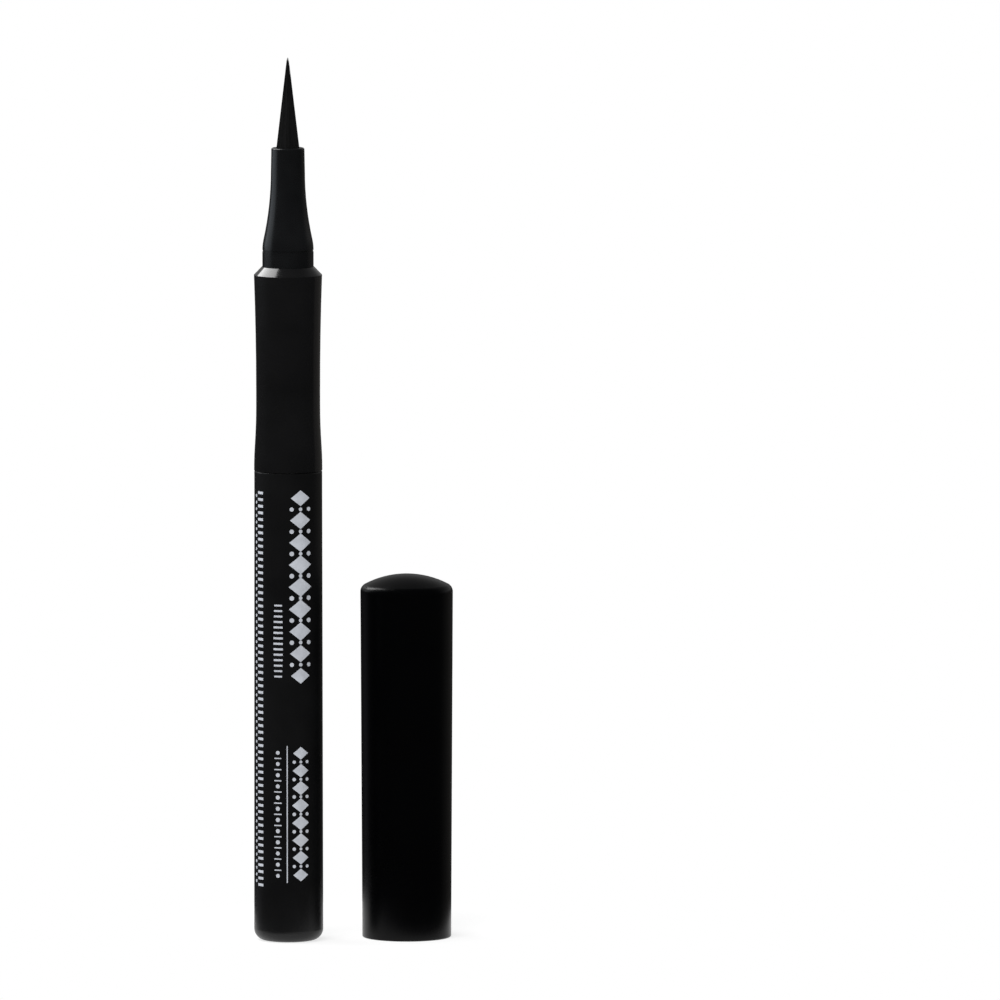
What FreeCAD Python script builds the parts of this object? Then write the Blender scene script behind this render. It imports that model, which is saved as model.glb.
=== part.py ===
"""Liquid eyeliner pen, uncapped, with its cap standing beside it.

The pen stands on its tail. The origin is the centre of the tail face, +Z runs up the pen to the
brush's point, and the cap stands on the +X side with its mouth down.
"""
import FreeCAD
import Part
import Sketcher
import os
import re

# Driving sizes in millimetres. Names ending in count are counts, names ending in share are shares.
SIZES = {
    # Barrel: the ink tank, a tube with a rounded tail edge.
    "barrel_length": 67.15,
    "barrel_tail_diameter": 9.84,
    "barrel_front_diameter": 9.65,
    "barrel_wall": 1.12,
    "tail_round": 1.65,
    "tail_lip": 0.82,
    "socket_wall": 0.62,
    "socket_depth": 8.0,
    "seam_round": 0.15,
    # Snap beads on the three pressed joints.
    "bead_height": 0.1,
    "bead_length": 0.9,
    # Clearance of every pressed joint, and of the spigot's end from the bottom of its socket.
    "fit_gap": 0.02,
    "spigot_end_gap": 0.1,
    # Tail plug: a cup whose head fills the barrel's open tail.
    "plug_head_height": 2.0,
    "plug_skirt_length": 4.5,
    "plug_wall": 0.8,
    "plug_floor": 1.3,
    # Mixing ball, loose in the tank.
    "ball_diameter": 3.2,
    "ball_rest_gap": 0.02,
    # Grip section: waisted front of the pen, with a spigot into the barrel.
    "grip_length": 29.1,
    "grip_rear_diameter": 9.71,
    "waist_diameter": 9.1,
    "waist_bottom": 9.3,
    "waist_top": 11.5,
    "rear_flare_share": 0.4,
    "shoulder_diameter": 9.69,
    "shoulder_chamfer": 1.14,
    "shoulder_land": 0.1,
    "spigot_wall": 0.68,
    "spigot_lead": 0.3,
    # Nose cone: collar, ogee flare and straight neck, with a spigot into the grip section.
    "nose_length": 16.95,
    "collar_diameter": 7.28,
    "collar_length": 2.45,
    "collar_step": 0.34,
    "collar_groove_width": 0.3,
    "collar_groove_depth": 0.06,
    "nose_flare_share": 0.13,
    "neck_length": 3.4,
    "neck_rear_diameter": 4.84,
    "neck_front_diameter": 4.72,
    "nose_edge_round": 0.25,
    "nose_wall": 0.8,
    "nose_spigot_length": 5.5,
    # Brush: a pointed tuft with a fused root flange.
    "nib_length": 12.8,
    "nib_base_diameter": 3.27,
    "nib_point_round": 0.12,
    "nib_gap": 0.1,
    "nib_seat_height": 6.5,
    "nib_flange_step": 0.45,
    "nib_flange_thickness": 1.0,
    # Retainer behind the brush, with air grooves along its outside.
    "retainer_inset": 1.0,
    "retainer_vent_count": 3,
    "retainer_vent_width": 0.6,
    "retainer_vent_depth": 0.4,
    # Feed rod.
    "rod_diameter": 1.4,
    "rod_gap": 0.02,
    "rod_entry": 4.0,
    "rod_entry_gap": 0.3,
    "rod_tail": 1.5,
    "rod_chamfer": 0.25,
    # Collector: a finned buffer with two lands, a front nipple and one slit along it.
    "collector_inset": 2.0,
    "collector_rear_land": 3.0,
    "collector_front_land": 2.0,
    "collector_core_diameter": 3.4,
    "collector_nipple_diameter": 3.2,
    "fin_count": 14,
    "fin_thickness": 0.5,
    "fin_gap": 0.1,
    "slit_width": 0.6,
    # Cap shell: a slightly tapered tube with a domed roof and ribs that carry the inner cap.
    "cap_overlap": 16.0,
    "cap_clearance": 0.385,
    "cap_wall": 1.11,
    "cap_taper": 0.25,
    "cap_roof": 1.6,
    "cap_headroom": 2.4,
    "cap_dome_radius": 12.8,
    "cap_edge_round": 1.15,
    "rim_round": 0.2,
    "rim_chamfer": 0.3,
    "mouth_step": 0.2,
    "mouth_depth": 15.6,
    "rib_count": 6,
    "rib_width": 0.9,
    # Inner cap: a sealing sleeve that closes on the nose's collar.
    "seal_gap": 0.03,
    "lip_seat_gap": 0.2,
    "lip_length": 6.0,
    "lip_lead": 0.25,
    "seal_length": 2.9,
    "seal_taper_length": 4.6,
    "inner_wall": 0.7,
    "inner_top": 0.8,
    "nose_clearance": 0.68,
    "tip_clearance": 1.45,
    # Where the cap stands beside the pen.
    "cap_stand_across": 16.8,
    "cap_stand_back": 3.6,
}

# Heights up the pen.
SEAM = "(barrel_length)"
SPIGOT_END = "(barrel_length - socket_depth + spigot_end_gap)"
SHOULDER = "(barrel_length + grip_length)"
NOSE_SPIGOT_END = f"({SHOULDER} - nose_spigot_length)"
COLLAR_TOP = f"({SHOULDER} + collar_length)"
NOSE_FRONT = f"({SHOULDER} + nose_length)"
NECK_REAR = f"({NOSE_FRONT} - neck_length)"
NIB_SEAT = f"({SHOULDER} + nib_seat_height)"
NIB_ROOT = f"({NIB_SEAT} - nib_flange_thickness)"
NIB_POINT = f"({NOSE_FRONT} + nib_length)"
RETAINER_REAR = f"({SHOULDER} + retainer_inset)"
COLLECTOR_REAR = f"({SPIGOT_END} + collector_inset)"
FINS_START = f"({COLLECTOR_REAR} + collector_rear_land)"
FINS_END = f"({NOSE_SPIGOT_END} - collector_front_land)"
FIN_PITCH = f"(({FINS_END} - {FINS_START}) / fin_count)"
SOCKET_BEAD = f"({SEAM} - socket_depth / 2)"
NOSE_BEAD = f"({SHOULDER} - nose_spigot_length / 2)"
PLUG_BEAD = "(plug_head_height + plug_skirt_length / 2)"

# Radii of the pen.
TAIL_R = "(barrel_tail_diameter / 2)"
FRONT_R = "(barrel_front_diameter / 2)"
TAIL_SEAT_R = f"({TAIL_R} - tail_lip)"
TANK_TAIL_R = f"({TAIL_R} - barrel_wall)"
TANK_FRONT_R = f"({FRONT_R} - barrel_wall)"
SOCKET_R = f"({FRONT_R} - socket_wall)"
SPIGOT_R = f"({SOCKET_R} - fit_gap)"
GRIP_BORE_R = f"({SPIGOT_R} - spigot_wall)"
GRIP_REAR_R = "(grip_rear_diameter / 2)"
WAIST_R = "(waist_diameter / 2)"
SHOULDER_R = "(shoulder_diameter / 2)"
COLLAR_R = "(collar_diameter / 2)"
NOSE_SPIGOT_R = f"({COLLAR_R} - collar_step)"
NOSE_SOCKET_R = f"({NOSE_SPIGOT_R} + fit_gap)"
NOSE_CAVITY_R = f"({NOSE_SPIGOT_R} - nose_wall)"
NECK_REAR_R = "(neck_rear_diameter / 2)"
NECK_FRONT_R = "(neck_front_diameter / 2)"
NIB_R = "(nib_base_diameter / 2)"
NIB_BORE_R = f"({NIB_R} + nib_gap)"
FLANGE_SEAT_R = f"({NIB_BORE_R} + nib_flange_step)"
FLANGE_R = f"({FLANGE_SEAT_R} - fit_gap)"
ROD_R = "(rod_diameter / 2)"
ROD_BORE_R = f"({ROD_R} + rod_gap)"
LAND_R = f"({GRIP_BORE_R} - fit_gap)"
FIN_R = f"({GRIP_BORE_R} - fin_gap)"
CORE_R = "(collector_core_diameter / 2)"
NIPPLE_R = "(collector_nipple_diameter / 2)"
RETAINER_R = f"({NOSE_CAVITY_R} - fit_gap)"

# Heights and radii of the cap, above its own rim.
MOUTH_R = f"({SHOULDER_R} + cap_clearance)"
CAP_RIM_R = f"({MOUTH_R} + cap_wall)"
CAP_TOP_R = f"({CAP_RIM_R} + cap_taper)"
CAP_BORE_R = f"({MOUTH_R} - mouth_step)"
INNER_CEILING = "(cap_overlap + nose_length + nib_length + tip_clearance)"
CAP_HEIGHT = f"({INNER_CEILING} + inner_top + cap_headroom + cap_roof)"
DOME_CENTRE = f"({CAP_HEIGHT} - cap_dome_radius)"
LIP_END = "(cap_overlap + lip_seat_gap)"
LIP_SHOULDER = f"({LIP_END} + lip_length)"
LIP_BORE_R = f"({COLLAR_R} + seal_gap)"
LIP_R = f"({LIP_BORE_R} + inner_wall)"
TUBE_BORE_R = f"({NECK_REAR_R} + nose_clearance)"
TUBE_R = f"({TUBE_BORE_R} + inner_wall)"

doc = FreeCAD.newDocument("EyelinerPen")
sheet = doc.addObject("Spreadsheet::Sheet", "Sizes")
for row, (alias, value) in enumerate(SIZES.items(), start=1):
    sheet.set(f"A{row}", alias)
    sheet.set(f"B{row}", str(value))
    sheet.setAlias(f"B{row}", alias)
doc.recompute()


def cells(formula):
    """The formula with each size's name written as its cell in the sheet."""
    return re.sub(r"[a-z]\w*", lambda word: f"Sizes.{word[0]}" if word[0] in SIZES else word[0], formula)


def number(formula):
    """What the formula comes to with the sheet's present values."""
    return float(sheet.evalExpression(cells(formula)))


def new_body(name):
    """An empty body, labelled with the piece's name."""
    body = doc.addObject("PartDesign::Body", name)
    body.Label = name
    return body


def origin_feature(body, role):
    """One of the body's own base planes or axes."""
    return next(item for item in body.Origin.OriginFeatures if getattr(item, "Role", "") == role)


def new_sketch(body, name, plane, height="0"):
    """A sketch on one of the body's base planes, raised along the plane's normal."""
    sketch = body.newObject("Sketcher::SketchObject", name)
    sketch.AttachmentSupport = [(origin_feature(body, plane), "")]
    sketch.MapMode = "FlatFace"
    sketch.setExpression("AttachmentOffset.Base.z", cells(height))
    return sketch


def hold(sketch, name, formula, *where):
    """Adds one named dimension to the sketch and binds it to the sheet."""
    kind, *rest = where
    sketch.addConstraint(Sketcher.Constraint(kind, *rest, number(formula)))
    index = sketch.ConstraintCount - 1
    sketch.renameConstraint(index, name)
    sketch.setExpression(f"Constraints.{name}", cells(formula))


def arc_between(start, end, radius, side):
    """The arc from start to end. Its centre is nearer the axis for inner, farther for outer."""
    chord = end - start
    middle = (start + end) / 2
    across = FreeCAD.Vector(-chord.y, chord.x, 0).normalize()
    reach = max(radius * radius - chord.Length * chord.Length / 4, 0) ** 0.5
    centres = sorted((middle + across * reach, middle - across * reach), key=lambda point: point.x)
    centre = centres[0] if side == "inner" else centres[1]
    circle = Part.Circle(centre, FreeCAD.Vector(0, 0, 1), radius)
    turns_left = (start - centre).cross(end - centre).z > 0
    first, last = (start, end) if turns_left else (end, start)
    arc = Part.ArcOfCircle(circle, circle.parameter(first), circle.parameter(last))
    return arc, (1, 2) if turns_left else (2, 1)


def draw_outline(sketch, corners):
    """Draws a closed outline through (radius, height) corners and binds every corner.

    A corner with two more entries, a bend radius and a side, is reached by an arc.
    """
    places = [FreeCAD.Vector(number(corner[0]), number(corner[1]), 0) for corner in corners]
    ends = []
    for index, corner in enumerate(corners):
        start = places[index - 1]
        end = places[index]
        if len(corner) == 2:
            ends.append((sketch.addGeometry(Part.LineSegment(start, end)), 1, 2))
            continue
        arc, (first, last) = arc_between(start, end, number(corner[2]), corner[3])
        ends.append((sketch.addGeometry(arc), first, last))
    for index, (edge, first, last) in enumerate(ends):
        before = ends[index - 1]
        sketch.addConstraint(Sketcher.Constraint("Coincident", before[0], before[2], edge, first))
    for index, corner in enumerate(corners):
        edge, first, last = ends[index]
        if corner[0] == "0":
            sketch.addConstraint(Sketcher.Constraint("PointOnObject", edge, last, -2))
        else:
            hold(sketch, f"radius_{index}", corner[0], "DistanceX", -1, 1, edge, last)
        if corner[1] == "0":
            sketch.addConstraint(Sketcher.Constraint("PointOnObject", edge, last, -1))
        else:
            hold(sketch, f"height_{index}", corner[1], "DistanceY", -1, 1, edge, last)
        if len(corner) > 2:
            hold(sketch, f"bend_{index}", corner[2], "Radius", edge)


def turned(name, corners):
    """A body turned from a closed half section in its XZ plane."""
    body = new_body(name)
    sketch = new_sketch(body, f"{name}_section", "XZ_Plane")
    draw_outline(sketch, corners)
    turning = body.newObject("PartDesign::Revolution", f"{name}_turning")
    turning.Profile = (sketch, [""])
    turning.ReferenceAxis = (sketch, ["V_Axis"])
    doc.recompute()
    return body


def ring_of(body, feature, count):
    """Repeats a feature of the body evenly around its Z axis."""
    ring = body.newObject("PartDesign::PolarPattern", f"{feature.Name}_ring")
    ring.Originals = [feature]
    ring.Axis = (origin_feature(body, "Z_Axis"), [""])
    ring.setExpression("Occurrences", cells(count))
    body.Tip = ring
    doc.recompute()


def draw_slab(sketch, inner, outer, width):
    """Draws a rectangle from inner to outer along X, centred across it."""
    near = FreeCAD.Vector(number(inner), -number(width) / 2, 0)
    far = FreeCAD.Vector(number(outer), number(width) / 2, 0)
    round_trip = [near, FreeCAD.Vector(far.x, near.y, 0), far, FreeCAD.Vector(near.x, far.y, 0)]
    for index in range(4):
        sketch.addGeometry(Part.LineSegment(round_trip[index], round_trip[(index + 1) % 4]))
    for index in range(4):
        sketch.addConstraint(Sketcher.Constraint("Coincident", index, 2, (index + 1) % 4, 1))
    sketch.addConstraint(Sketcher.Constraint("Horizontal", 0))
    sketch.addConstraint(Sketcher.Constraint("Vertical", 1))
    sketch.addConstraint(Sketcher.Constraint("Horizontal", 2))
    sketch.addConstraint(Sketcher.Constraint("Symmetric", 3, 1, 3, 2, -1))
    hold(sketch, "inner", inner, "DistanceX", -1, 1, 0, 1)
    hold(sketch, "outer", outer, "DistanceX", -1, 1, 0, 2)
    hold(sketch, "width", width, "DistanceY", 1, 1, 1, 2)


def bead_up(radius, height):
    """Corners of a low snap bead on an outside wall drawn upward, or its groove in an inside wall."""
    return [
        (radius, f"{height} - bead_length / 2"),
        (f"{radius} + bead_height", height),
        (radius, f"{height} + bead_length / 2"),
    ]


def rounded_tail_height(radius):
    """Height of the rounded tail edge at a radius outside the flat of the tail."""
    return f"(tail_round - sqrt(tail_round ^ 2 - ({radius} - {TAIL_R} + tail_round) ^ 2))"


def ogee(start, end, share):
    """Two tangent arcs from a convex start to a concave end, both ends running along the axis.

    Share is the part of the way from start to end at which the curve turns over.
    """
    across = f"({start[0]} - {end[0]})"
    along = f"({end[1]} - {start[1]})"
    bend = f"(({across} ^ 2 + {along} ^ 2) / (2 * {across}))"
    turn = (f"{start[0]} - {share} * {across}", f"{start[1]} + {share} * {along}")
    return [
        (*turn, f"{share} * {bend}", "inner"),
        (*end, f"(1 - {share}) * {bend}", "outer"),
    ]


def build_barrel():
    """The tank: rounded tail with a seat for the plug, and a socket for the grip section."""
    tail_bead = bead_up(TANK_TAIL_R, PLUG_BEAD)
    socket_bead = bead_up(SOCKET_R, SOCKET_BEAD)
    return turned("barrel", [
        (TAIL_SEAT_R, rounded_tail_height(TAIL_SEAT_R)),
        (TAIL_R, "tail_round", "tail_round", "inner"),
        (FRONT_R, f"{SEAM} - seam_round"),
        (f"{FRONT_R} - seam_round", SEAM, "seam_round", "inner"),
        (SOCKET_R, SEAM),
        *reversed(socket_bead),
        (SOCKET_R, f"{SEAM} - socket_depth"),
        (TANK_FRONT_R, f"{SEAM} - socket_depth"),
        (TANK_TAIL_R, "plug_head_height + plug_skirt_length"),
        *reversed(tail_bead),
        (TANK_TAIL_R, "plug_head_height"),
        (TAIL_SEAT_R, "plug_head_height"),
    ])


def build_tail_plug():
    """A cup with a beaded skirt. Its head carries on the barrel's rounded tail."""
    head = f"({TAIL_SEAT_R} - fit_gap)"
    skirt = f"({TANK_TAIL_R} - fit_gap)"
    return turned("tail_plug", [
        ("0", "0"),
        (f"{TAIL_R} - tail_round", "0"),
        (head, rounded_tail_height(head), "tail_round", "inner"),
        (head, "plug_head_height"),
        (skirt, "plug_head_height"),
        *bead_up(skirt, PLUG_BEAD),
        (skirt, "plug_head_height + plug_skirt_length"),
        (f"{skirt} - plug_wall", "plug_head_height + plug_skirt_length"),
        (f"{skirt} - plug_wall", "plug_floor"),
        ("0", "plug_floor"),
    ])


def build_mixing_ball():
    """A loose ball on the plug's floor."""
    ball = doc.addObject("Part::Sphere", "mixing_ball")
    ball.setExpression("Radius", cells("ball_diameter / 2"))
    ball.setExpression("Placement.Base.z", cells("plug_floor + ball_diameter / 2 + ball_rest_gap"))
    return ball


def build_grip_section():
    """The waisted front section, bored through, with its spigot below the seam."""
    shoulder_foot = f"({SHOULDER} - shoulder_chamfer)"
    rise = f"({shoulder_foot} - {SEAM} - waist_top)"
    swell = f"({SHOULDER_R} - {WAIST_R})"
    return turned("grip_section", [
        (GRIP_BORE_R, SPIGOT_END),
        (f"{SPIGOT_R} - spigot_lead", SPIGOT_END),
        (SPIGOT_R, f"{SPIGOT_END} + spigot_lead"),
        *bead_up(SPIGOT_R, SOCKET_BEAD),
        (SPIGOT_R, SEAM),
        (f"{GRIP_REAR_R} - seam_round", SEAM),
        (GRIP_REAR_R, f"{SEAM} + seam_round", "seam_round", "inner"),
        *ogee(
            (GRIP_REAR_R, f"({SEAM} + seam_round)"),
            (WAIST_R, f"({SEAM} + waist_bottom)"),
            "rear_flare_share",
        ),
        (WAIST_R, f"{SEAM} + waist_top"),
        (SHOULDER_R, shoulder_foot, f"({rise} ^ 2 + {swell} ^ 2) / (2 * {swell})", "outer"),
        (f"{COLLAR_R} + shoulder_land", SHOULDER),
        (NOSE_SOCKET_R, SHOULDER),
        *reversed(bead_up(NOSE_SOCKET_R, NOSE_BEAD)),
        (NOSE_SOCKET_R, NOSE_SPIGOT_END),
        (GRIP_BORE_R, NOSE_SPIGOT_END),
    ])


def build_nose_cone():
    """Collar, groove, ogee flare and neck, hollow, with a stepped seat for the brush's flange."""
    return turned("nose_cone", [
        (NOSE_CAVITY_R, NOSE_SPIGOT_END),
        (NOSE_SPIGOT_R, NOSE_SPIGOT_END),
        *bead_up(NOSE_SPIGOT_R, NOSE_BEAD),
        (NOSE_SPIGOT_R, SHOULDER),
        (COLLAR_R, SHOULDER),
        (COLLAR_R, f"{COLLAR_TOP} - collar_groove_width"),
        (f"{COLLAR_R} - collar_groove_depth", f"{COLLAR_TOP} - collar_groove_width"),
        (f"{COLLAR_R} - collar_groove_depth", COLLAR_TOP),
        (COLLAR_R, COLLAR_TOP),
        *ogee((COLLAR_R, COLLAR_TOP), (NECK_REAR_R, NECK_REAR), "nose_flare_share"),
        (NECK_FRONT_R, f"{NOSE_FRONT} - nose_edge_round"),
        (f"{NECK_FRONT_R} - nose_edge_round", NOSE_FRONT, "nose_edge_round", "inner"),
        (NIB_BORE_R, NOSE_FRONT),
        (NIB_BORE_R, NIB_SEAT),
        (FLANGE_SEAT_R, NIB_SEAT),
        (FLANGE_SEAT_R, NIB_ROOT),
        (NOSE_CAVITY_R, NIB_ROOT),
    ])


def build_brush_nib():
    """The tuft: a long cone on a straight root, a fused flange and a hole for the feed rod."""
    rod_end = f"({NIB_ROOT} + rod_entry + rod_entry_gap)"
    return turned("brush_nib", [
        (ROD_BORE_R, NIB_ROOT),
        (FLANGE_R, NIB_ROOT),
        (FLANGE_R, NIB_SEAT),
        (NIB_R, NIB_SEAT),
        (NIB_R, NOSE_FRONT),
        ("nib_point_round", f"{NIB_POINT} - nib_point_round"),
        ("0", NIB_POINT, "nib_point_round", "inner"),
        ("0", rod_end),
        (ROD_BORE_R, rod_end),
    ])


def build_nib_retainer():
    """A bored plug behind the brush, with air grooves cut along its outside."""
    body = turned("nib_retainer", [
        (ROD_BORE_R, RETAINER_REAR),
        (RETAINER_R, RETAINER_REAR),
        (RETAINER_R, NIB_ROOT),
        (ROD_BORE_R, NIB_ROOT),
    ])
    sketch = new_sketch(body, "retainer_vent_section", "XY_Plane", NIB_ROOT)
    draw_slab(sketch, f"{RETAINER_R} - retainer_vent_depth", f"{RETAINER_R} + fit_gap", "retainer_vent_width")
    vent = body.newObject("PartDesign::Pocket", "retainer_vent")
    vent.Profile = (sketch, [""])
    vent.setExpression("Length", cells(f"{NIB_ROOT} - {RETAINER_REAR}"))
    doc.recompute()
    ring_of(body, vent, "retainer_vent_count")
    return body


def build_feed_rod():
    """A straight rod from the tank to the brush's root, bevelled at both ends."""
    rear = f"({COLLECTOR_REAR} - rod_tail)"
    front = f"({NIB_ROOT} + rod_entry)"
    return turned("feed_rod", [
        ("0", rear),
        (f"{ROD_R} - rod_chamfer", rear),
        (ROD_R, f"{rear} + rod_chamfer"),
        (ROD_R, f"{front} - rod_chamfer"),
        (f"{ROD_R} - rod_chamfer", front),
        ("0", front),
    ])


def build_collector():
    """Two lands and a nipple on a bored core, with fins cut by a row of grooves and one long slit."""
    body = turned("collector", [
        (ROD_BORE_R, COLLECTOR_REAR),
        (LAND_R, COLLECTOR_REAR),
        (LAND_R, FINS_START),
        (FIN_R, FINS_START),
        (FIN_R, FINS_END),
        (LAND_R, FINS_END),
        (LAND_R, NOSE_SPIGOT_END),
        (NIPPLE_R, NOSE_SPIGOT_END),
        (NIPPLE_R, RETAINER_REAR),
        (ROD_BORE_R, RETAINER_REAR),
    ])
    sketch = new_sketch(body, "fin_gap_section", "XZ_Plane")
    draw_outline(sketch, [
        (CORE_R, f"{FINS_START} + fin_thickness / 2"),
        (f"{FIN_R} + fin_gap", f"{FINS_START} + fin_thickness / 2"),
        (f"{FIN_R} + fin_gap", f"{FINS_START} + {FIN_PITCH} - fin_thickness / 2"),
        (CORE_R, f"{FINS_START} + {FIN_PITCH} - fin_thickness / 2"),
    ])
    groove = body.newObject("PartDesign::Groove", "fin_groove")
    groove.Profile = (sketch, [""])
    groove.ReferenceAxis = (sketch, ["V_Axis"])
    doc.recompute()
    row = body.newObject("PartDesign::LinearPattern", "fin_row")
    row.Originals = [groove]
    row.Direction = (origin_feature(body, "Z_Axis"), [""])
    row.setExpression("Length", cells(f"{FIN_PITCH} * (fin_count - 1)"))
    row.setExpression("Occurrences", cells("fin_count"))
    body.Tip = row
    doc.recompute()
    slit_section = new_sketch(body, "slit_section", "XY_Plane", NOSE_SPIGOT_END)
    draw_slab(slit_section, CORE_R, f"{LAND_R} + fit_gap", "slit_width")
    slit = body.newObject("PartDesign::Pocket", "slit")
    slit.Profile = (slit_section, [""])
    slit.setExpression("Length", cells(f"{NOSE_SPIGOT_END} - {COLLECTOR_REAR}"))
    doc.recompute()
    return body


def stand_beside(body):
    """Stands a piece of the cap at the cap's place beside the pen."""
    body.setExpression("Placement.Base.x", cells("cap_stand_across"))
    body.setExpression("Placement.Base.y", cells("cap_stand_back"))


def build_cap_shell():
    """The domed shell, its mouth bored wider, with a ring of ribs that grip the inner cap."""
    edge_share = f"(({CAP_TOP_R} - cap_edge_round) / (cap_dome_radius - cap_edge_round))"
    edge_height = f"(sqrt((cap_dome_radius - cap_edge_round) ^ 2 - ({CAP_TOP_R} - cap_edge_round) ^ 2))"
    under_dome = "(cap_dome_radius - cap_roof)"
    body = turned("cap_shell", [
        (f"{MOUTH_R} + rim_chamfer", "0"),
        (f"{CAP_RIM_R} - rim_round", "0"),
        (CAP_RIM_R, "rim_round", "rim_round", "inner"),
        (CAP_TOP_R, f"{DOME_CENTRE} + {edge_height}"),
        (
            f"cap_dome_radius * {edge_share}",
            f"{DOME_CENTRE} + cap_dome_radius * sqrt(1 - {edge_share} ^ 2)",
            "cap_edge_round",
            "inner",
        ),
        ("0", CAP_HEIGHT, "cap_dome_radius", "inner"),
        ("0", f"{CAP_HEIGHT} - cap_roof"),
        (
            CAP_BORE_R,
            f"{DOME_CENTRE} + sqrt({under_dome} ^ 2 - {CAP_BORE_R} ^ 2)",
            under_dome,
            "inner",
        ),
        (CAP_BORE_R, "mouth_depth"),
        (MOUTH_R, "mouth_depth"),
        (MOUTH_R, "rim_chamfer"),
    ])
    rib_top = f"({DOME_CENTRE} + sqrt((cap_dome_radius - cap_roof / 2) ^ 2 - {CAP_BORE_R} ^ 2))"
    sketch = new_sketch(body, "rib_section", "XY_Plane", LIP_SHOULDER)
    draw_slab(sketch, f"{TUBE_R} + fit_gap", f"{CAP_BORE_R} + cap_wall / 2", "rib_width")
    rib = body.newObject("PartDesign::Pad", "rib")
    rib.Profile = (sketch, [""])
    rib.setExpression("Length", cells(f"{rib_top} - {LIP_SHOULDER}"))
    doc.recompute()
    ring_of(body, rib, "rib_count")
    stand_beside(body)
    return body


def build_inner_cap():
    """The sealing sleeve: a wide lip for the nose's collar, tapering to a closed tube."""
    body = turned("inner_cap", [
        (f"{LIP_BORE_R} + lip_lead", LIP_END),
        (LIP_R, LIP_END),
        (LIP_R, LIP_SHOULDER),
        (TUBE_R, LIP_SHOULDER),
        (TUBE_R, f"{INNER_CEILING} + inner_top"),
        ("0", f"{INNER_CEILING} + inner_top"),
        ("0", INNER_CEILING),
        (TUBE_BORE_R, INNER_CEILING),
        (TUBE_BORE_R, f"{LIP_END} + seal_length + seal_taper_length"),
        (LIP_BORE_R, f"{LIP_END} + seal_length"),
        (LIP_BORE_R, f"{LIP_END} + lip_lead"),
    ])
    stand_beside(body)
    return body


PIECES = [
    build_barrel(),
    build_tail_plug(),
    build_mixing_ball(),
    build_grip_section(),
    build_collector(),
    build_feed_rod(),
    build_nose_cone(),
    build_nib_retainer(),
    build_brush_nib(),
    build_cap_shell(),
    build_inner_cap(),
]
doc.recompute()

for item in doc.Objects:
    if "Invalid" in item.State or "Error" in item.State:
        raise RuntimeError(f"{item.Name} did not rebuild: {item.State}")
for piece in PIECES:
    if piece.Shape.isNull() or not piece.Shape.isValid() or len(piece.Shape.Solids) != 1:
        raise RuntimeError(f"{piece.Label} is not one valid solid")

os.makedirs("parts", exist_ok=True)
for piece in PIECES:
    piece.Shape.exportStep(f"parts/{piece.Label}.step")
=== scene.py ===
"""Looks of the liquid eyeliner pen: finishes for its moulded pieces, a bristle tuft and a foil ornament.

Everything is in metres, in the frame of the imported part. The pen stands on its tail at the origin with
the brush up, and the cap stands beside it on the +X side.
"""
from math import cos, pi, radians, sin

import bpy
from bpy.props import FloatProperty, FloatVectorProperty, IntProperty, PointerProperty
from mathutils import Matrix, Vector


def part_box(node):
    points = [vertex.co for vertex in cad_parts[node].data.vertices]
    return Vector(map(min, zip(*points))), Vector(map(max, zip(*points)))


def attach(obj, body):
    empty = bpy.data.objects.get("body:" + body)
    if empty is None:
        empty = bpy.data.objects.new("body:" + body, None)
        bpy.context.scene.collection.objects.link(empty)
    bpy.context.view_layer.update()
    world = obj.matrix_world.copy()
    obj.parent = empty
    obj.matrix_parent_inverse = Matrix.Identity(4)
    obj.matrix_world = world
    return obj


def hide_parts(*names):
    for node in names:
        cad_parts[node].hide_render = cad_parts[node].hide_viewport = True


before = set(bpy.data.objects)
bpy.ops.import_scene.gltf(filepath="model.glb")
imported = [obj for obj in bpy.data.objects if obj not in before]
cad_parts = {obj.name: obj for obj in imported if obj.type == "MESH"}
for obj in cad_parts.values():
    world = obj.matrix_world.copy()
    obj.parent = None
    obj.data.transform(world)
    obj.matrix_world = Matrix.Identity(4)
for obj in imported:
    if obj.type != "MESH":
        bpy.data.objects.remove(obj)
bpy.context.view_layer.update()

bl_info = {
    "name": "Eyeliner Pen",
    "version": (1, 0, 0),
    "blender": (4, 5, 0),
    "location": "3D View > Sidebar > Eyeliner",
    "description": "Finishes the eyeliner pen and its cap, and sets them in a plain studio",
    "category": "Object",
}

MM = 0.001
GOLDEN_ANGLE = pi * (3 - 5 ** 0.5)
PURE_WHITE = (1.0, 1.0, 1.0, 1.0)


# Places read from the frame.

BARREL_FRONT_SHARE = 0.99  # the front radius is read above this share of the barrel's length


def outer_radius(name, lowest, highest):
    """The widest radius of a turned node about the pen's axis between two heights."""
    points = [vertex.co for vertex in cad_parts[name].data.vertices]
    return max(point.xy.length for point in points if lowest <= point.z <= highest)


BARREL_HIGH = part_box("barrel")[1]
BARREL_LENGTH = BARREL_HIGH.z
BARREL_TAIL_RADIUS = BARREL_HIGH.x
BARREL_FRONT_RADIUS = outer_radius("barrel", BARREL_FRONT_SHARE * BARREL_LENGTH, BARREL_LENGTH)
NOSE_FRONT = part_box("nose_cone")[1].z
BRUSH_LOW, BRUSH_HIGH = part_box("brush_nib")


# Sizes and colours that a user would change.

def length(label, about, default):
    """A length property in metres."""
    return FloatProperty(
        name=label, description=about, default=default, min=0.0, precision=6, unit="LENGTH"
    )


def share(label, about, default):
    """A property from nothing to all."""
    return FloatProperty(
        name=label, description=about, default=default, min=0.0, max=1.0, subtype="FACTOR"
    )


def colour(label, about, default):
    """A colour property, in linear light."""
    return FloatVectorProperty(
        name=label, description=about, default=default, size=3, min=0.0, max=1.0, subtype="COLOR"
    )


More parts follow.
